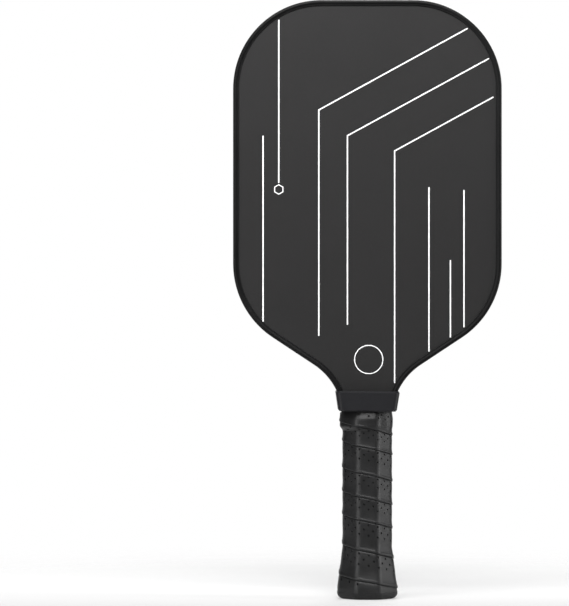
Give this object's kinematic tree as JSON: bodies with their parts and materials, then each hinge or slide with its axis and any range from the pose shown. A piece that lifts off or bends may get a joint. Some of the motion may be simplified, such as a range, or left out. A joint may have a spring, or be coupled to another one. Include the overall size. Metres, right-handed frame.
{
  "type": "pickleball paddle",
  "caption": "Pickleball paddle with a honeycomb panel, carbon faces, an edge guard and a wrapped octagonal grip with a rubber collar and a flared butt.",
  "frame": {"origin": "centre of the flat butt end, which the paddle stands on", "axes": "+Z from the butt end to the top edge of the head, +X across the width, front face towards -Y"},
  "size_m": [0.188, 0.0384, 0.419],
  "materials": {
    "honeycomb": "translucent polypropylene",
    "scrim": "white fleece",
    "carbon_face": "fine grit, matte",
    "edge_guard": "satin",
    "bond_tape": "matte",
    "handle_foam": "matte foam",
    "butt_cap": "satin",
    "staple_steel": "plain",
    "end_badge": "matte",
    "grip_backing": "matte",
    "grip_leather": "smooth, perforated, slightly tacky",
    "finishing_tape": "satin",
    "collar_rubber": "smooth, satin",
    "print_ink": "white print"
  },
  "bodies": {
    "root": {"honeycomb_core": "honeycomb", "front_scrim": "scrim", "back_scrim": "scrim", "front_face_sheet": "carbon_face", "back_face_sheet": "carbon_face", "guard_bond_tape": "bond_tape", "edge_guard": "edge_guard", "front_pad_bond": "bond_tape", "back_pad_bond": "bond_tape", "front_handle_pad": "handle_foam", "back_handle_pad": "handle_foam", "butt_cap": "butt_cap", "butt_cap_staples": "staple_steel", "end_badge": "end_badge", "grip_backing": "grip_backing", "grip_start_staple": "staple_steel", "grip_tape": "grip_leather", "finishing_tape": "finishing_tape", "grip_collar": "collar_rubber"}
  },
  "joints": []
}
